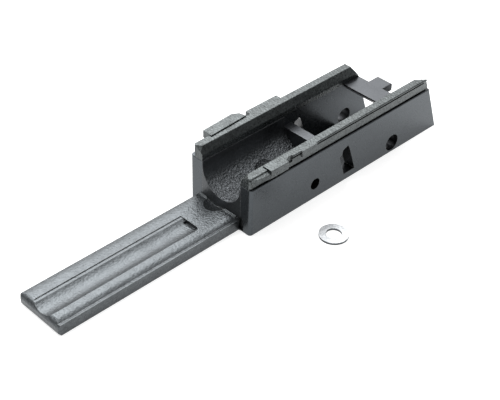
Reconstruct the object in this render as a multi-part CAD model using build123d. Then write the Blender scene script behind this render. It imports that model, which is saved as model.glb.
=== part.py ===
from build123d import *
import os
from math import radians, tan

# Slide guide chassis: a short channel with slide rails along the top of its two side walls,
# a long flat tongue let into the front underside, and a loose flat washer beside it.
# Millimetres. x = 0 is the body's front face and +X runs to the rear; +Y is the right side;
# z = 0 is the flat underside.

# ---- driving dimensions -------------------------------------------------------------------
HALF_WIDTH = 9.68        # outer face of the left side wall
RIGHT_OUTER = 10.4       # outer face of the right side wall, which is a little thicker
INNER_HALF = 6.4         # inner face of each side wall
SEAM_Z = 12.86           # top of the side walls, where the rails sit
TOP_Z = 16.15            # running face of the rails
LEFT_LENGTH = 66.56      # left wall, along the underside
RIGHT_LENGTH = 58.1      # right wall, along the underside
REAR_ANGLE = 19.0        # lean of the rear ends and of the slot sides, degrees from upright
FRONT_ROUND = 0.9        # front upright edges

RIGHT_TOP_LENGTH = 51.3  # right rail, along the top

TROUGH_LENGTH = 26.6     # front cradle between the walls
TROUGH_RADIUS = 6.2
TROUGH_CENTRE_Z = 11.7
FLOOR_HOLE_X = 15.9      # upright hole in the cradle's floor
FLOOR_HOLE_RADIUS = 3.6

FRONT_PIN_X = 21.3       # small cross hole
FRONT_PIN_Z = 4.25
FRONT_PIN_RADIUS = 1.5
REAR_PIN_X = 49.1        # large cross hole
REAR_PIN_Z = 2.85
REAR_PIN_RADIUS = 2.22

SLOT_FRONT_X = 32.14     # slot's front side, carried down to the underside
SLOT_WIDTH = 3.86        # along X
SLOT_BOTTOM_Z = 2.0
SLOT_SHOULDER_Z = 7.6    # lower end of the slot's sloping roof
SLOT_RISER_Z = 8.5       # lower end of the short riser in the roof
SLOT_STEP_Z = 9.5
SLOT_PEAK_Z = 10.1
SLOT_RISER_BOTTOM = 0.40  # where the riser stands, as shares of the slot's width
SLOT_RISER_TOP = 0.45
SLOT_PEAK_SET_IN = 0.2   # cut corner at the roof's peak, and its height
SLOT_PEAK_CUT = 1.0

WEB_REAR_X = 29.4        # upright web that closes the trough's rear end
WEB_TOP_Z = 10.1
WEB_EDGE = 0.15
FLOOR_REAR_X = 46.0      # thin floor between the walls, behind the web
FLOOR_TOP_Z = 1.6

BRIDGE_FRONT_X = 48.1    # rear cross plate, flush with the top of the side walls
BRIDGE_REAR_X = 53.6
BRIDGE_THICKNESS = 2.1
BRIDGE_FRONT_EDGE = 0.45  # thickness left at its front edge, which is bevelled underneath
BRIDGE_FRONT_BEVEL = 1.5  # length of that bevel
BRIDGE_TAB_Y = (-1.5, 2.95)
BRIDGE_TAB_REAR_X = 57.8
BRIDGE_TAB_CREST = [(56.9, 0.0), (57.5, 0.3), (57.8, 1.0)]  # its rear edge, as (x, drop) points
BRIDGE_TAB_ROUND = 0.5

RAIL_INNER = 7.35        # rail's running face, inner edge
RAIL_SKIRT = 6.3         # rail's inner face below its flare
FLARE_Z = 14.2           # lower end of the flare inside each rail
RAIL_FACE = 9.3          # rail's upright outer face
RAIL_LIP = 9.45          # rail's overhanging top edge
RAIL_LIP_HEIGHT = 0.4
RAIL_TOP_ROUND = 0.25    # rounded upper edges of the rail
FLARE_ROUND = 0.8        # rounded lower edge of the flare
GROOVE_DEPTH = 0.35      # two shadow grooves along the rail
SEAM_GROOVE_HEIGHT = 0.4
LIP_GROOVE_HEIGHT = 0.55
RAIL_CORNER_Y = 8.9      # front outer corner of the rail, cut off at 45 degrees from here
LEAD_IN_INNER_Z = 14.8   # the rail's sloping lead-in: its low inner corner,
LEAD_IN_OUTER_Y = 8.8    # its high corner at the front,
LEAD_IN_LENGTH = 1.1     # and how far back its inner edge reaches the running face
FLANGE_BOTTOM_Z = 14.5   # underside of the flanges that stand out sideways
PAD_RISE = 0.32          # how far a raised guide pad stands above the rail
PAD_EDGE = 0.12
EDGE_BREAK = 0.22        # small softened edges

WEDGE_X = (0.4, 5.4)     # sloping wing ahead of the left guide pad
WEDGE_Y = (-10.7, -8.0)
WEDGE_OUTER_Z = 15.5
WEDGE_FRONT = [(-1.0, -8.9), (1.8, -10.0), (5.4, -10.7), (5.4, -13.0), (-1.0, -13.0)]
LEFT_FLANGE_X = (16.2, 21.1)
LEFT_FLANGE_Y = (-9.75, -8.0)
LEFT_NOTCH_X = (11.9, 13.4)  # gap in the left rail's lip behind the guide pad
RIGHT_FLANGE_X = (18.0, 28.3)
RIGHT_FLANGE_Y = (8.0, 10.8)
LEFT_PAD = [(5.4, -7.8), (11.2, -7.8), (11.2, -9.2), (10.8, -10.7), (5.4, -10.7)]
RIGHT_PAD = [(5.0, 8.6), (16.5, 9.1), (16.5, 9.5), (16.1, 11.0), (14.4, 12.0), (5.0, 11.5)]
LEFT_POST_X = 60.0       # behind this the left rail's upper groove is filled in
LEFT_REAR_BEVEL_X = 58.46  # where the left rail's bevelled rear end leaves its inner edge

TONGUE_LENGTH = 51.1     # ahead of the body
TONGUE_ROOT = 11.8       # inside the body, from wall to wall
TONGUE_LEFT = -6.0
TONGUE_RIGHT = 7.7
TONGUE_THICKNESS = 3.17
CHANNEL_LEFT = -2.5      # shallow round channel along the tongue, between its edges
CHANNEL_RIGHT = 3.85
CHANNEL_DEPTH = 0.8
CHANNEL_END_X = -8.95
CHANNEL_END_ROUND = 1.0
LEDGE_DEPTH = 0.2        # narrow ledge along the channel's right side, below a small step
LEDGE_WIDTH = 0.65
STEP_WIDTH = 0.14
STOP_DEPTH = 0.25        # extra depth of the short dip at the channel's closed end
STOP_LENGTH = 0.8
STOP_Y = (-1.9, 2.2)
EDGE_BEAD = 0.25         # narrow bead along the tongue's left edge
BEAD_DROP = 0.38         # how far the bead lies below the tongue's top
VALLEY_WIDTH = 0.75      # the fine valley between the bead and the ridge
VALLEY_DROP = 0.5
RIDGE_INSET = 2.3        # where the rounded ridge beside the valley reaches full height
RIGHT_ROUND_WIDTH = 2.6  # the tongue's right shoulder curves down over this width
RIGHT_ROUND_DROP = 0.4
TIP_CORNER = 0.35        # upright corners of the tongue's tip
TIP_FACE_TOP_Z = 1.9     # upright end face of the tip, up to here
TIP_ROUND_LENGTH = 1.5   # the tip's top curves down over this length
TIP_ROUND_MIDDLE = (0.45, 0.48)  # a point of that curve, back from the tip and below the top
TIP_UNDERCUT = 0.6       # small bevel below the tip
ROOT_FILLET = 0.35       # where the tongue meets the body's front face
ROOT_FILLET_Y = (-5.0, 7.3)
DISH_RADIUS = 6.0        # shallow dish in the tongue, ahead of the body
DISH_DEPTH = 0.6
DISH_X = -0.4
DISH_Y = 1.8
POCKET_DEPTH = 0.7       # rounded pocket in the front face, beside the tongue
POCKET_Y = (-7.4, -5.35)
POCKET_Z = (0.35, 3.85)
POCKET_ROUND = 0.7

WASHER_OUTER_RADIUS = 3.5
WASHER_BORE_RADIUS = 1.85
WASHER_THICKNESS = 0.5
WASHER_X = 14.55
WASHER_Y = -22.2

LEAN = tan(radians(REAR_ANGLE))


# ---- helpers ------------------------------------------------------------------------------
def box(x_span, y_span, z_span):
    """A box given by its lowest and highest value along each axis."""
    spans = (x_span, y_span, z_span)
    size = [high - low for low, high in spans]
    middle = [(low + high) / 2 for low, high in spans]
    return Pos(*middle) * Box(*size)


def side_prism(outline, y_low, y_high):
    """An (x, z) outline carried across the width from y_low to y_high."""
    face = make_face(Plane.XZ * Polyline(*outline, close=True))
    prism = extrude(face, amount=y_high - y_low, dir=(0, 1, 0))
    return Pos(0, y_low, 0) * prism


def section_prism(outline, x_low, x_high):
    """A (y, z) section carried along the length from x_low to x_high."""
    face = make_face(Plane.YZ * Polyline(*outline, close=True))
    prism = extrude(face, amount=x_high - x_low, dir=(1, 0, 0))
    return Pos(x_low, 0, 0) * prism


def plan_prism(outline, z_low, z_high):
    """An (x, y) outline carried upwards from z_low to z_high."""
    face = make_face(Plane.XY * Polyline(*outline, close=True))
    return Pos(0, 0, z_low) * extrude(face, amount=z_high - z_low, dir=(0, 0, 1))


def cross_pin(x, z, radius):
    """A cylinder right across the width, for a cross hole."""
    return Pos(x, 0, z) * Rot(90, 0, 0) * Cylinder(radius, 4 * HALF_WIDTH)


def mirrored(points, side):
    """Outline points with their first value turned to the given side."""
    return [(side * first, second) for first, second in points]


# ---- side walls ---------------------------------------------------------------------------
def wall_rear_x(side, z):
    """Where a side wall ends, at height z."""
    length = LEFT_LENGTH if side < 0 else RIGHT_LENGTH
    return length - LEAN * z


def rear_end(side):
    """The (x, z) points of a side's rear end, from the underside up to the running face."""
    top_x = wall_rear_x(side, TOP_Z) if side < 0 else RIGHT_TOP_LENGTH
    return [(wall_rear_x(side, 0), 0), (wall_rear_x(side, SEAM_Z), SEAM_Z), (top_x, TOP_Z)]


def behind_rear_end(side):
    """Everything behind a side's rear end, to cut it away."""
    clear = LEFT_LENGTH + 10
    outline = [*rear_end(side), (clear, TOP_Z), (clear, 0)]
    y_low, y_high = sorted((0, side * 2 * HALF_WIDTH))
    return side_prism(outline, y_low, y_high)


def slot():
    """The leaning slot through both walls, with a stepped sloping roof."""
    def front(z):
        return SLOT_FRONT_X - LEAN * z

    def rear(z):
        return front(z) + SLOT_WIDTH

    outline = [
        (front(SLOT_BOTTOM_Z), SLOT_BOTTOM_Z),
        (rear(SLOT_BOTTOM_Z), SLOT_BOTTOM_Z),
        (rear(SLOT_PEAK_Z - SLOT_PEAK_CUT), SLOT_PEAK_Z - SLOT_PEAK_CUT),
        (rear(SLOT_PEAK_Z) - SLOT_PEAK_SET_IN, SLOT_PEAK_Z),
        (front(SLOT_STEP_Z) + SLOT_RISER_TOP * SLOT_WIDTH, SLOT_STEP_Z),
        (front(SLOT_STEP_Z) + SLOT_RISER_BOTTOM * SLOT_WIDTH, SLOT_RISER_Z),
        (front(SLOT_SHOULDER_Z), SLOT_SHOULDER_Z),
    ]
    return side_prism(outline, -2 * HALF_WIDTH, 2 * HALF_WIDTH)


def front_pocket():
    """A shallow pocket in the body's front face, with a rounded upper corner."""
    pocket = box((-POCKET_DEPTH, POCKET_DEPTH), POCKET_Y, POCKET_Z)
    corners = pocket.edges().filter_by(Axis.X).group_by(Axis.Z)[-1]
    return fillet(corners, POCKET_ROUND)


def side_wall(side):
    y_low, y_high = (-HALF_WIDTH, -INNER_HALF) if side < 0 else (INNER_HALF, RIGHT_OUTER)
    wall = box((0, LEFT_LENGTH), (y_low, y_high), (0, SEAM_Z))
    wall -= behind_rear_end(side)
    front_edges = wall.edges().filter_by(Axis.Z).group_by(Axis.X)[0]
    outer_edge = front_edges.sort_by(Axis.Y)[0 if side < 0 else -1]
    wall = fillet(outer_edge, FRONT_ROUND)
    outer_face = wall.faces().filter_by(Axis.Y).sort_by(Axis.Y)[0 if side < 0 else -1]
    wall = fillet(outer_face.edges(), EDGE_BREAK)
    wall -= cross_pin(FRONT_PIN_X, FRONT_PIN_Z, FRONT_PIN_RADIUS)
    wall -= cross_pin(REAR_PIN_X, REAR_PIN_Z, REAR_PIN_RADIUS)
    return wall - slot() - front_pocket()


# ---- front cradle -------------------------------------------------------------------------
def trough_cradle():
    """The U-shaped block between the walls, cut away underneath for the tongue's root."""
    block = box((0, TROUGH_LENGTH), (-INNER_HALF, INNER_HALF), (0, SEAM_Z))
    trough = Rot(0, 90, 0) * Cylinder(TROUGH_RADIUS, 2 * TROUGH_LENGTH)
    block -= Pos(TROUGH_LENGTH / 2, 0, TROUGH_CENTRE_Z) * trough
    above = (TROUGH_CENTRE_Z, TOP_Z)
    block -= box((-1, TROUGH_LENGTH + 1), (-TROUGH_RADIUS, TROUGH_RADIUS), above)
    block -= box((0, TONGUE_ROOT), (-INNER_HALF, INNER_HALF), (0, TONGUE_THICKNESS))
    floor_hole = Cylinder(FLOOR_HOLE_RADIUS, TROUGH_CENTRE_Z)
    block -= Pos(FLOOR_HOLE_X, 0, TROUGH_CENTRE_Z / 2) * floor_hole
    return block - cross_pin(FRONT_PIN_X, FRONT_PIN_Z, FRONT_PIN_RADIUS) - front_pocket()


# ---- rails --------------------------------------------------------------------------------
def rail_section():
    """The rail's (y, z) section on the right side, with its two shadow grooves."""
    lip_z = TOP_Z - RAIL_LIP_HEIGHT
    return [
        (RAIL_SKIRT, SEAM_Z),
        (RAIL_FACE - GROOVE_DEPTH, SEAM_Z),
        (RAIL_FACE - GROOVE_DEPTH, SEAM_Z + SEAM_GROOVE_HEIGHT),
        (RAIL_FACE, SEAM_Z + SEAM_GROOVE_HEIGHT),
        (RAIL_FACE, lip_z - LIP_GROOVE_HEIGHT),
        (RAIL_FACE - GROOVE_DEPTH, lip_z - LIP_GROOVE_HEIGHT),
        (RAIL_FACE - GROOVE_DEPTH, lip_z),
        (RAIL_LIP, lip_z),
        (RAIL_LIP, TOP_Z),
        (RAIL_INNER, TOP_Z),
        (RAIL_SKIRT, FLARE_Z),
    ]


def rail_bar(side):
    """The rail's section along the whole body, with its long upper edges rounded."""
    bar = section_prism(mirrored(rail_section(), side), 0, LEFT_LENGTH)
    lengthwise = bar.edges().filter_by(Axis.X)
    top_edges = lengthwise.group_by(Axis.Z)[-1]
    bar = fillet(top_edges, RAIL_TOP_ROUND)
    flare_edge = bar.edges().filter_by(Axis.X).filter_by_position(Axis.Z, FLARE_Z, FLARE_Z)
    return fillet(flare_edge, FLARE_ROUND)


def half_space(origin, second, third, reach):
    """The block on the upper side of the plane through three points."""
    normal = (second - origin).cross(third - origin)
    if normal.Z < 0:
        normal = -normal
    plane = Plane(origin=origin, z_dir=normal)
    return plane * Pos(0, 0, reach / 2) * Box(reach, reach, reach)


def front_lead_in(side):
    """The block above a sloping plane that cuts the rail's front end, low towards the inside."""
    inner_low = Vector(0, side * RAIL_SKIRT, LEAD_IN_INNER_Z)
    outer_high = Vector(0, side * LEAD_IN_OUTER_Y, TOP_Z)
    behind_high = Vector(LEAD_IN_LENGTH, side * RAIL_INNER, TOP_Z)
    return half_space(inner_low, outer_high, behind_high, HALF_WIDTH)


def rail_body(side):
    cut = RAIL_LIP - RAIL_CORNER_Y
    corner = [(0, side * RAIL_CORNER_Y), (0, side * RAIL_LIP), (cut, side * RAIL_LIP)]
    front_corner = plan_prism(corner, 0, TOP_Z)
    return rail_bar(side) - behind_rear_end(side) - front_corner - front_lead_in(side)


def left_wing():
    """The sloping wing ahead of the left guide pad."""
    outer_y, inner_y = WEDGE_Y
    section = [
        (inner_y, TOP_Z),
        (inner_y, FLANGE_BOTTOM_Z),
        (outer_y, FLANGE_BOTTOM_Z),
        (outer_y, WEDGE_OUTER_Z),
    ]
    return section_prism(section, *WEDGE_X) - plan_prism(WEDGE_FRONT, 0, 2 * TOP_Z)


def left_rear_bevel():
    """The block behind the slanting plane that bevels the left rail's rear end."""
    inner = Vector(LEFT_REAR_BEVEL_X, -RAIL_INNER, TOP_Z)
    outer_high = Vector(wall_rear_x(-1, TOP_Z), -RAIL_LIP, TOP_Z)
    outer_low = Vector(wall_rear_x(-1, SEAM_Z), -RAIL_LIP, SEAM_Z)
    return half_space(inner, outer_high, outer_low, HALF_WIDTH)


def left_rail():
    """The left rail, with the wing ahead of its guide pad, a small flange and a bevelled rear end."""
    rail = rail_body(-1) + left_wing()
    rail += box(LEFT_FLANGE_X, LEFT_FLANGE_Y, (FLANGE_BOTTOM_Z, TOP_Z))
    notch_y = (-HALF_WIDTH - GROOVE_DEPTH, -RAIL_FACE + GROOVE_DEPTH)
    rail -= box(LEFT_NOTCH_X, notch_y, (FLANGE_BOTTOM_Z, TOP_Z + PAD_RISE))
    post_z = (SEAM_Z + SEAM_GROOVE_HEIGHT, TOP_Z - RAIL_TOP_ROUND)
    rail += box((LEFT_POST_X, LEFT_LENGTH), (-RAIL_FACE, -RAIL_INNER), post_z) - behind_rear_end(-1)
    return rail - left_rear_bevel()


def right_rail():
    """The right rail, with the flush flange behind its guide pad."""
    return rail_body(1) + box(RIGHT_FLANGE_X, RIGHT_FLANGE_Y, (FLANGE_BOTTOM_Z, TOP_Z))


def pad_seat(outline):
    """The space that a guide pad takes out of its rail."""
    return plan_prism(outline, FLANGE_BOTTOM_Z, TOP_Z + PAD_RISE)


def guide_pad(outline):
    """A raised pad with a softened upper edge."""
    pad = pad_seat(outline)
    return fillet(pad.faces().sort_by(Axis.Z)[-1].edges(), PAD_EDGE)


# ---- cross members ------------------------------------------------------------------------
def end_web():
    """The upright web between the walls that closes the trough's rear end."""
    web = box((TROUGH_LENGTH, WEB_REAR_X), (-INNER_HALF, INNER_HALF), (0, WEB_TOP_Z))
    long_edges = web.edges().filter_by(Axis.Y).group_by(Axis.Z)[-1]
    return fillet(long_edges, WEB_EDGE)


def well_floor():
    """The thin floor between the walls, behind the web; the well is open below behind it."""
    return box((WEB_REAR_X, FLOOR_REAR_X), (-INNER_HALF, INNER_HALF), (0, FLOOR_TOP_Z))


def bridge_plate():
    bottom = SEAM_Z - BRIDGE_THICKNESS
    outline = [
        (BRIDGE_FRONT_X, SEAM_Z),
        (BRIDGE_FRONT_X, SEAM_Z - BRIDGE_FRONT_EDGE),
        (BRIDGE_FRONT_X + BRIDGE_FRONT_BEVEL, bottom),
        (BRIDGE_REAR_X, bottom),
        (BRIDGE_REAR_X, SEAM_Z),
    ]
    plate = side_prism(outline, -INNER_HALF, INNER_HALF)
    crest = [(x, SEAM_Z - drop) for x, drop in BRIDGE_TAB_CREST]
    tab_outline = [(BRIDGE_REAR_X, bottom), (BRIDGE_REAR_X, SEAM_Z), *crest, (BRIDGE_TAB_REAR_X, bottom)]
    tab = side_prism(tab_outline, *BRIDGE_TAB_Y)
    tab = fillet(tab.edges().filter_by(Axis.Z).group_by(Axis.X)[-1], BRIDGE_TAB_ROUND)
    return plate + tab


# ---- tongue -------------------------------------------------------------------------------
def tongue_channel():
    """The shallow round channel, with a ledge and a small step on its right and a closed rear end."""
    top = TONGUE_THICKNESS
    ledge_z = top - LEDGE_DEPTH
    step_y = CHANNEL_RIGHT - STEP_WIDTH
    left = (CHANNEL_LEFT, top)
    right = (step_y - LEDGE_WIDTH, ledge_z)
    low = ((left[0] + right[0]) / 2, top - CHANNEL_DEPTH)
    upper = Polyline(right, (step_y, ledge_z), (CHANNEL_RIGHT, top), left)
    face = make_face(Plane.YZ * Wire([*upper.edges(), ThreePointArc(left, low, right).edge()]))
    length = TONGUE_LENGTH + CHANNEL_END_X
    channel = Pos(-TONGUE_LENGTH, 0, 0) * extrude(face, amount=length, dir=(1, 0, 0))
    round_end = box((-TONGUE_LENGTH, CHANNEL_END_X), (CHANNEL_LEFT, CHANNEL_RIGHT), (0, top))
    left_end = round_end.edges().filter_by(Axis.Z).group_by(Axis.X)[-1].sort_by(Axis.Y)[0]
    channel &= fillet(left_end, CHANNEL_END_ROUND)
    stop_x = (CHANNEL_END_X - STOP_LENGTH, CHANNEL_END_X)
    return channel + box(stop_x, STOP_Y, (low[1] - STOP_DEPTH, top))


def rounded_shoulder(high, low):
    """An arc that leaves the tongue's flat top at one point and drops away to the other."""
    middle = ((high[0] + low[0]) / 2, high[1] - (high[1] - low[1]) / 4)
    return ThreePointArc(high, middle, low)


def tongue_blade():
    """The tongue ahead of the body: a bar with rounded shoulders and a bead along its left edge."""
    top = TONGUE_THICKNESS
    bead_z = top - BEAD_DROP
    ridge = (TONGUE_LEFT + RIDGE_INSET, top)
    valley = (TONGUE_LEFT + VALLEY_WIDTH, top - VALLEY_DROP)
    shoulder = (TONGUE_RIGHT - RIGHT_ROUND_WIDTH, top)
    right_edge = (TONGUE_RIGHT, top - RIGHT_ROUND_DROP)
    bead = [(TONGUE_LEFT + EDGE_BEAD, bead_z), (TONGUE_LEFT, bead_z)]
    sides = Polyline(valley, *bead, (TONGUE_LEFT, 0), (TONGUE_RIGHT, 0), right_edge)
    flat_top = Line(ridge, shoulder)
    curves = [rounded_shoulder(ridge, valley), flat_top, rounded_shoulder(shoulder, right_edge)]
    face = make_face(Plane.YZ * Wire([*sides.edges(), *(curve.edge() for curve in curves)]))
    blade = Pos(-TONGUE_LENGTH, 0, 0) * extrude(face, amount=TONGUE_LENGTH, dir=(1, 0, 0))
    return chamfer(blade.edges().filter_by(Axis.Z).group_by(Axis.X)[0], TIP_CORNER)


def above_tip():
    """What the tip's curve cuts away from the tongue's top."""
    top = TONGUE_THICKNESS
    tip_x = -TONGUE_LENGTH
    low = (tip_x, TIP_FACE_TOP_Z)
    middle = (tip_x + TIP_ROUND_MIDDLE[0], top - TIP_ROUND_MIDDLE[1])
    high = (tip_x + TIP_ROUND_LENGTH, top)
    curve = ThreePointArc(low, middle, high)
    corner = Polyline(high, (tip_x, top), low)
    face = make_face(Plane.XZ * Wire([curve.edge(), *corner.edges()]))
    return Pos(0, -HALF_WIDTH, 0) * extrude(face, amount=2 * HALF_WIDTH, dir=(0, 1, 0))


def tongue_plate():
    """The tongue with its channel, which is open at the tip, and its wider root inside the body."""
    top = TONGUE_THICKNESS
    tip_x = -TONGUE_LENGTH
    below_tip = [(tip_x, 0), (tip_x, TIP_UNDERCUT), (tip_x + TIP_UNDERCUT, 0)]
    blade = tongue_blade() - above_tip() - side_prism(below_tip, -HALF_WIDTH, HALF_WIDTH)
    blade -= tongue_channel()
    below = top - VALLEY_DROP
    root_fillet = [(-ROOT_FILLET, below), (-ROOT_FILLET, top), (0, top + ROOT_FILLET), (0, below)]
    blade += side_prism(root_fillet, *ROOT_FILLET_Y)
    blade -= Pos(DISH_X, DISH_Y, top - DISH_DEPTH + DISH_RADIUS) * Sphere(DISH_RADIUS)
    root = box((0, TONGUE_ROOT), (-INNER_HALF, INNER_HALF), (0, top))
    return blade + (root - front_pocket())


# ---- washer -------------------------------------------------------------------------------
def washer():
    disc = Cylinder(WASHER_OUTER_RADIUS, WASHER_THICKNESS) - Cylinder(WASHER_BORE_RADIUS, WASHER_THICKNESS)
    return Pos(WASHER_X, WASHER_Y, WASHER_THICKNESS / 2) * disc


os.makedirs("parts", exist_ok=True)
NODES = {
    "left_wall": side_wall(-1),
    "right_wall": side_wall(1),
    "trough_cradle": trough_cradle(),
    "left_rail": left_rail() - pad_seat(LEFT_PAD),
    "right_rail": right_rail() - pad_seat(RIGHT_PAD),
    "left_guide_pad": guide_pad(LEFT_PAD),
    "right_guide_pad": guide_pad(RIGHT_PAD),
    "end_web": end_web(),
    "well_floor": well_floor(),
    "bridge_plate": bridge_plate(),
    "tongue_plate": tongue_plate(),
    "washer": washer(),
}
for name, shape in NODES.items():
    export_step(shape, f"parts/{name}.step")
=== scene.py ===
import math

import bpy
from mathutils import Matrix, Vector


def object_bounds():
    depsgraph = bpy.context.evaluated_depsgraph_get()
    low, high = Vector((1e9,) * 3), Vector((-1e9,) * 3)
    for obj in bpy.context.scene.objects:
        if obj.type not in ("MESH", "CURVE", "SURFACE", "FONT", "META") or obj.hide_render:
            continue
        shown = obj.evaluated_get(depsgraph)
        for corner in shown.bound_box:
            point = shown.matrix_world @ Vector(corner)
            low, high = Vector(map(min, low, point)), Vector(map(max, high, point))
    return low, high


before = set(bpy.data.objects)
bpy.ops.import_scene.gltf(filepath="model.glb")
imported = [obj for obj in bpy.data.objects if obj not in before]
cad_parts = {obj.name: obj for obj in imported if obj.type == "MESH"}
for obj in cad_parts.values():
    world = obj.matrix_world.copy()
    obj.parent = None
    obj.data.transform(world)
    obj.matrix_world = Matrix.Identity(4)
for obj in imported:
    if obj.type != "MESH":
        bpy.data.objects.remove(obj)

CAD_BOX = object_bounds()
MM = 0.001
X_AXIS, Y_AXIS, Z_AXIS = range(3)


def rgb(red, green, blue):
    return (red, green, blue, 1.0)


# ---- the photograph's view: lengths in metres, lens and sensor in millimetres ----------------
CAMERA_AT = Vector((-150.05, -159.50, 176.79)) * MM
CAMERA_AZIMUTH = math.radians(44.994)
CAMERA_ELEVATION = math.radians(38.061)
CAMERA_ROLL = math.radians(1.375)
CAMERA_LENS = 87.23
CAMERA_SENSOR = 36.0
CAMERA_NEAR = 0.001
CAMERA_FAR = 20.0


def add_camera():
    """A long lens from the front left, 38 degrees above the part and very slightly rolled."""
    flat = math.cos(CAMERA_ELEVATION)
    forward = Vector((
        math.sin(CAMERA_AZIMUTH) * flat,
        math.cos(CAMERA_AZIMUTH) * flat,
        -math.sin(CAMERA_ELEVATION),
    ))
    right = forward.cross(Vector((0, 0, 1))).normalized()
    right = Matrix.Rotation(-CAMERA_ROLL, 3, forward) @ right
    up = right.cross(forward)
    data = bpy.data.cameras.new("camera")
    data.lens = CAMERA_LENS
    data.sensor_width = CAMERA_SENSOR
    data.clip_start = CAMERA_NEAR
    data.clip_end = CAMERA_FAR
    camera = bpy.data.objects.new("camera", data)
    axes = Matrix((right, up, -forward)).transposed()
    camera.matrix_world = Matrix.Translation(CAMERA_AT) @ axes.to_4x4()
    bpy.context.scene.collection.objects.link(camera)
    bpy.context.scene.camera = camera


# ---- node helpers ----------------------------------------------------------------------------
MIX_FACTOR, MIX_FIRST, MIX_SECOND, MIX_RESULT = 0, 6, 7, 2  # the Mix node's colour sockets
NOISE_ROUGHNESS = 0.55
NOISE_SPREAD = (0.3, 0.7)  # between these lie nearly all of a noise's values
BEVEL_SAMPLES = 4


class Nodes:
    """Adds and links the nodes of one material or world."""

    def __init__(self, tree):
        self.tree = tree
        tree.nodes.clear()

    def add(self, kind, **values):
        """A new node: each value goes to its property, or else to the input of that name."""
        node = self.tree.nodes.new(kind)
        for key, value in values.items():
            if hasattr(node, key):
                setattr(node, key, value)
            else:
                node.inputs[key.replace("_", " ").title()].default_value = value
        return node

    def feed(self, value, socket):
        """Link another node's output to the socket, or set it to a plain number or colour."""
        if isinstance(value, bpy.types.NodeSocket):
            self.tree.links.new(value, socket)
        else:
            socket.default_value = value

    def math(self, operation, first, second):
        node = self.add("ShaderNodeMath", operation=operation)
        self.feed(first, node.inputs[0])
        self.feed(second, node.inputs[1])
        return node.outputs[0]

    def vector(self, operation, first, second):
        """The number that a dot product or a distance gives."""
        node = self.add("ShaderNodeVectorMath", operation=operation)
        self.feed(first, node.inputs[0])
        self.feed(second, node.inputs[1])
        return node.outputs["Value"]

    def remap(self, source, low, high, new_low=0.0, new_high=1.0):
        """Clamped: low becomes new_low and high becomes new_high."""
        node = self.add(
            "ShaderNodeMapRange", from_min=low, from_max=high, to_min=new_low, to_max=new_high)
        self.feed(source, node.inputs["Value"])
        return node.outputs["Result"]

    def mix(self, factor, first, second):
        """The first colour at factor 0, the second at factor 1."""
        node = self.add("ShaderNodeMix", data_type="RGBA")
        self.feed(factor, node.inputs[MIX_FACTOR])
        self.feed(first, node.inputs[MIX_FIRST])
        self.feed(second, node.inputs[MIX_SECOND])
        return node.outputs[MIX_RESULT]

    def place(self):
        """The place on the piece, in the frame's metres."""
        return self.add("ShaderNodeTexCoord").outputs["Object"]

    def normal(self):
        """The surface's own normal, without this material's bump or bevel."""
        return self.add("ShaderNodeNewGeometry").outputs["Normal"]

    def part_of(self, vector, axis):
        node = self.add("ShaderNodeSeparateXYZ")
        self.feed(vector, node.inputs[0])
        return node.outputs[axis]

    def noise(self, per_mm, detail=3.0):
        """Noise around 0.5, with so many cells per millimetre."""
        mapping = self.add("ShaderNodeMapping", scale=(1 / MM, 1 / MM, 1 / MM))
        self.feed(self.place(), mapping.inputs["Vector"])
        noise = self.add(
            "ShaderNodeTexNoise", scale=per_mm, detail=detail, roughness=NOISE_ROUGHNESS)
        self.feed(mapping.outputs[0], noise.inputs["Vector"])
        return noise.outputs["Fac"]

    def bevel(self, radius):
        """The normal with the piece's edges rounded to the radius in millimetres."""
        node = self.add("ShaderNodeBevel", samples=BEVEL_SAMPLES, radius=radius * MM)
        return node.outputs[0]


def new_material(name):
    """A material whose shader is joined to its output: the material, its nodes, the shader."""
    material = bpy.data.materials.new(name)
    material.use_nodes = True
    nodes = Nodes(material.node_tree)
    output = nodes.add("ShaderNodeOutputMaterial")
    shader = nodes.add("ShaderNodeBsdfPrincipled")
    nodes.feed(shader.outputs[0], output.inputs[0])
    return material, nodes, shader


# ---- masks on the pieces ---------------------------------------------------------------------
EDGE_STARTS, EDGE_FULL = 0.985, 0.8  # cosines between the own normal and the bevelled one
EDGE_PATCHES_PER_MM = 1.2
EDGE_PATCH_SPREAD = (0.4, 0.6)
EDGE_LEAST = 0.3  # how much of an edge is left between its patches
BORES_BEHIND = 0.005  # metres along x, just behind the walls' front faces
BORE_TURNED, FACE_TURNED = 0.2, 0.4  # how far bores and broad faces look sideways
GRAIN_UNSHADED_BELOW, GRAIN_FADED_SHADED_ABOVE = 6.6, 9.6  # heights in the trough, in millimetres: above them the grain fades and the colour gets painted shade
TROUGH_TURNED, FRONT_TURNED = 0.3, 0.7  # how far the trough and its front look lengthwise
GRAIN_AND_UNSHADED_LEFT = 0.12  # what is left of the trough's grain, and of its colour before the painted shade, where both have faded


def normal_share(nodes, axis):
    """How far a surface faces along the axis, either way, from 0 to 1."""
    return nodes.math("ABSOLUTE", nodes.part_of(nodes.normal(), axis), 0.0)


def edge_mask(nodes, bevel):
    """Up to 1 on sharp edges, in patches along them, and 0 on flat surfaces."""
    bent = nodes.vector("DOT_PRODUCT", bevel, nodes.normal())
    edge = nodes.remap(bent, EDGE_STARTS, EDGE_FULL)
    noise = nodes.noise(EDGE_PATCHES_PER_MM, detail=2.0)
    patches = nodes.remap(noise, *EDGE_PATCH_SPREAD, EDGE_LEAST, 1.0)
    return nodes.math("MULTIPLY", edge, patches)


def bore_shade_mask(nodes):
    """Where a side wall gets painted shade: 1 inside the bores and the slot that go through it, 0
    on its broad faces.

    The wall's rear end, its underside and its top, which don't face sideways either, get 1 too,
    and so get the painted shade as well.
    """
    cut = nodes.remap(normal_share(nodes, Y_AXIS), BORE_TURNED, FACE_TURNED, 1.0, 0.0)
    along = nodes.part_of(nodes.place(), X_AXIS)
    behind_front = nodes.remap(along, BORES_BEHIND, BORES_BEHIND + MM)
    return nodes.math("MULTIPLY", cut, behind_front)


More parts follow.
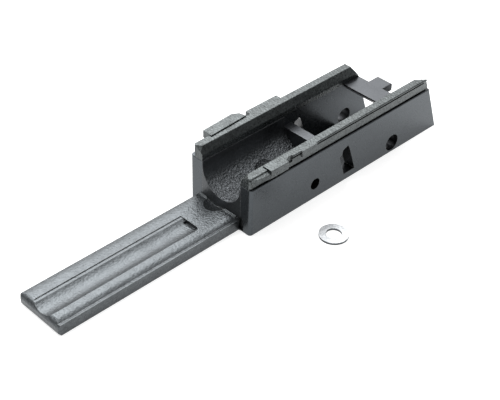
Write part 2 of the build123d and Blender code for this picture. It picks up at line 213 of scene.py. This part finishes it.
def trough_grain_and_shade_mask(nodes):
    """1 in the bottom of the trough, less up its sides and on its front face, where the grain
    fades and the colour gets painted shade.
    """
    height = nodes.part_of(nodes.place(), Z_AXIS)
    bottom = nodes.remap(height, GRAIN_UNSHADED_BELOW * MM, GRAIN_FADED_SHADED_ABOVE * MM, 1.0, GRAIN_AND_UNSHADED_LEFT)
    lengthwise = normal_share(nodes, X_AXIS)
    inside = nodes.remap(lengthwise, TROUGH_TURNED, FRONT_TURNED, 1.0, GRAIN_AND_UNSHADED_LEFT)
    return nodes.math("MULTIPLY", bottom, inside)


# ---- materials -------------------------------------------------------------------------------
COATING_METALLIC = 0.9
COATING_BEVEL = 0.16  # millimetres
CLOUDS_PER_MM = 0.3
CLOUD_SHARE = 0.35  # of the mottled tone; the grain gives the rest
TONE_SPREAD = (0.36, 0.64)
ROUGHNESS_SWING = 0.06
# Light grey painted onto the edges as a highlight.
EDGE_HIGHLIGHT_COLOUR = rgb(0.5, 0.5, 0.5)
# Near-black painted into the bores as shade.
BORE_PAINTED_SHADE = rgb(0.020, 0.021, 0.023)

PLATING_DARK = rgb(0.27, 0.28, 0.29)
PLATING_LIGHT = rgb(0.38, 0.39, 0.40)
# Painted shade on the washer: dark colours for its rims and its stamped sides.
PLATING_RIM_SHADE = rgb(0.08, 0.085, 0.09)
PLATING_SIDE_SHADE = rgb(0.07, 0.075, 0.08)
PLATING_BEVEL = 0.2  # millimetres
PLATING_FLAT = (0.4, 0.9)  # how far a stamped edge, painted dark as shade, and a flat face look upwards
PLATING_CLOUDS_PER_MM = 1.5
PLATING_CLOUD_SPREAD = (0.35, 0.65)
PLATING_SHEEN_PER_MM = 6.0
PLATING_ROUGHNESS = (0.25, 0.4)
PLATING_BUMPS_PER_MM = 4.0
PLATING_BUMP_STRENGTH = 0.6
PLATING_BUMP = 0.02  # millimetres


def coated_metal(name, colour, roughness, grain_per_mm, grain_depth, mottle, edge_highlight,
                 trough=False, bores=False):
    """Dark coating on metal: mottled tone, fine grain, and edges painted lighter as a highlight.

    grain_depth is in millimetres; mottle is how far the tone strays from the colour, and
    edge_highlight how far the edges are painted lighter, a painted highlight in patches like
    rubbed wear. trough is for the cradle, whose grain fades out up its sides, where its colour
    gets painted shade, and bores for a side wall, whose bores get painted shade darker than its
    faces.
    """
    material, nodes, shader = new_material(name)
    shader.inputs["Metallic"].default_value = COATING_METALLIC
    cloud = nodes.math("MULTIPLY", nodes.noise(CLOUDS_PER_MM, detail=4.0), CLOUD_SHARE)
    grain = nodes.noise(grain_per_mm, detail=2.0)
    tone = nodes.math("ADD", cloud, nodes.math("MULTIPLY", grain, 1 - CLOUD_SHARE))
    darker = rgb(*(channel * (1 - mottle) for channel in colour[:3]))
    lighter = rgb(*(channel * (1 + mottle) for channel in colour[:3]))
    base = nodes.mix(nodes.remap(tone, *TONE_SPREAD), darker, lighter)
    bump = nodes.add("ShaderNodeBump", strength=1.0, distance=grain_depth * MM)
    nodes.feed(grain, bump.inputs["Height"])
    # In the trough the grain fades up the sides and on the front face, and there the colour is
    # painted darker as shade.
    if trough:
        grain_unshaded = trough_grain_and_shade_mask(nodes)
        base = nodes.mix(grain_unshaded, darker, base)
        nodes.feed(grain_unshaded, bump.inputs["Strength"])
    # Painted shade: inside the bores and the slot through a side wall the colour goes near-black.
    if bores:
        base = nodes.mix(bore_shade_mask(nodes), base, BORE_PAINTED_SHADE)

    bevel = nodes.bevel(COATING_BEVEL)
    # Painted highlight: the edges' colour is mixed towards light grey, in patches like rubbed
    # wear.
    edge_highlight_share = nodes.math("MULTIPLY", edge_mask(nodes, bevel), edge_highlight)
    nodes.feed(nodes.mix(edge_highlight_share, base, EDGE_HIGHLIGHT_COLOUR), shader.inputs["Base Color"])
    swing = (roughness - ROUGHNESS_SWING, roughness + ROUGHNESS_SWING)
    nodes.feed(nodes.remap(grain, *NOISE_SPREAD, *swing), shader.inputs["Roughness"])
    nodes.feed(bevel, bump.inputs["Normal"])
    nodes.feed(bump.outputs[0], shader.inputs["Normal"])
    return material


def plated_washer():
    """Bright plating on the flat faces; the rims and the stamped edges are painted darker as
    shade.
    """
    material, nodes, shader = new_material("bright_plating")
    shader.inputs["Metallic"].default_value = 1.0
    clouds = nodes.noise(PLATING_CLOUDS_PER_MM, detail=4.0)
    cloudy = nodes.remap(clouds, *PLATING_CLOUD_SPREAD)
    face = nodes.mix(cloudy, PLATING_DARK, PLATING_LIGHT)
    # Painted shade: the rims are coloured dark.
    face = nodes.mix(edge_mask(nodes, nodes.bevel(PLATING_BEVEL)), face, PLATING_RIM_SHADE)
    flat = nodes.remap(normal_share(nodes, Z_AXIS), *PLATING_FLAT)
    # Painted shade: the stamped sides, which face sideways, are coloured dark.
    nodes.feed(nodes.mix(flat, PLATING_SIDE_SHADE, face), shader.inputs["Base Color"])
    sheen = nodes.remap(nodes.noise(PLATING_SHEEN_PER_MM), *NOISE_SPREAD, *PLATING_ROUGHNESS)
    nodes.feed(sheen, shader.inputs["Roughness"])
    bump = nodes.add(
        "ShaderNodeBump", strength=PLATING_BUMP_STRENGTH, distance=PLATING_BUMP * MM)
    nodes.feed(nodes.noise(PLATING_BUMPS_PER_MM), bump.inputs["Height"])
    nodes.feed(bump.outputs[0], shader.inputs["Normal"])
    return material


def dress_nodes():
    """Give each CAD node its finish."""
    wall = coated_metal(
        "wall_coating", rgb(0.060, 0.067, 0.073), roughness=0.32,
        grain_per_mm=2.2, grain_depth=0.01, mottle=0.08, edge_highlight=0.2, bores=True)
    rail = coated_metal(
        "rail_coating", rgb(0.070, 0.077, 0.078), roughness=0.31,
        grain_per_mm=1.9, grain_depth=0.10, mottle=0.35, edge_highlight=0.25)
    cradle = coated_metal(
        "cast_coating", rgb(0.110, 0.117, 0.124), roughness=0.36,
        grain_per_mm=2.0, grain_depth=0.55, mottle=0.45, edge_highlight=0.15, trough=True)
    tongue = coated_metal(
        "tongue_coating", rgb(0.078, 0.085, 0.090), roughness=0.33,
        grain_per_mm=2.1, grain_depth=0.11, mottle=0.22, edge_highlight=0.25)
    cross = coated_metal(
        "cross_coating", rgb(0.068, 0.072, 0.078), roughness=0.34,
        grain_per_mm=2.2, grain_depth=0.015, mottle=0.10, edge_highlight=0.2)
    # The well floor is painted near-black, as shade in the well.
    well = coated_metal(
        "well_painted_shade", rgb(0.030, 0.032, 0.034), roughness=0.55,
        grain_per_mm=2.2, grain_depth=0.05, mottle=0.20, edge_highlight=0.0)
    finishes = {
        "left_wall": wall,
        "right_wall": wall,
        "trough_cradle": cradle,
        "left_rail": rail,
        "right_rail": rail,
        "left_guide_pad": rail,
        "right_guide_pad": rail,
        "end_web": cross,
        "well_floor": well,
        "bridge_plate": cross,
        "tongue_plate": tongue,
        "washer": plated_washer(),
    }
    for name, material in finishes.items():
        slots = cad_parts[name].data.materials
        slots.clear()
        slots.append(material)


# ---- floor and light: lengths in metres ------------------------------------------------------
FLOOR_GAP = 0.00002
FLOOR_REACH = 1.5
FLOOR_SHADE = 0.52
FLOOR_GLOW = 0.68
# A pool of extra light on the floor off the part's rear left corner.
POOL_AT = Vector((0.080, -0.020, 0.0))
POOL_REACH = 0.032
POOL_GLOW = 0.35

# The light tent: dim all round, brighter overhead and towards the part's right side, and in
# there a softbox. Each cap of directions has its centre, the cosine where it starts, the cosine
# where it is full, and the radiance that it adds.
TENT_DIM = 0.3
TENT_CAPS = (
    (Vector((0.12, 0.36, 0.925)), 0.38, 0.85, 1.5),
    (Vector((0.22, 0.58, 0.785)), 0.84, 0.985, 6.3),
)


def floor_material():
    """Plain white and matt, with a glow that is stronger in the pool."""
    material, nodes, shader = new_material("floor")
    shader.inputs["Base Color"].default_value = rgb(FLOOR_SHADE, FLOOR_SHADE, FLOOR_SHADE)
    shader.inputs["Roughness"].default_value = 1.0
    shader.inputs["Specular IOR Level"].default_value = 0.0
    shader.inputs["Emission Color"].default_value = rgb(1, 1, 1)
    away = nodes.vector("DISTANCE", nodes.place(), POOL_AT)
    pool = nodes.remap(away, 0.0, POOL_REACH, FLOOR_GLOW + POOL_GLOW, FLOOR_GLOW)
    nodes.feed(pool, shader.inputs["Emission Strength"])
    return material


def add_floor():
    """A wide plain floor just under the part."""
    low, high = CAD_BOX
    middle = (low + high) / 2
    height = low.z - FLOOR_GAP
    corners = [(-1, -1), (1, -1), (1, 1), (-1, 1)]
    points = [(middle.x + x * FLOOR_REACH, middle.y + y * FLOOR_REACH, height) for x, y in corners]
    mesh = bpy.data.meshes.new("floor")
    mesh.from_pydata(points, [], [(0, 1, 2, 3)])
    mesh.materials.append(floor_material())
    floor = bpy.data.objects.new("floor", mesh)
    bpy.context.scene.collection.objects.link(floor)


def add_world():
    """The light tent: white, with a strength for each direction."""
    world = bpy.data.worlds.new("studio")
    bpy.context.scene.world = world
    world.use_nodes = True
    nodes = Nodes(world.node_tree)
    output = nodes.add("ShaderNodeOutputWorld")
    background = nodes.add("ShaderNodeBackground")
    background.inputs["Color"].default_value = rgb(1, 1, 1)
    direction = nodes.add("ShaderNodeTexCoord").outputs["Generated"]
    glow = TENT_DIM
    for centre, start, full, radiance in TENT_CAPS:
        facing = nodes.vector("DOT_PRODUCT", direction, centre)
        glow = nodes.math("ADD", glow, nodes.remap(facing, start, full, 0.0, radiance))
    nodes.feed(glow, background.inputs["Strength"])
    nodes.feed(background.outputs[0], output.inputs[0])


bpy.context.scene.view_settings.view_transform = "Standard"
add_camera()
dress_nodes()
add_floor()
add_world()
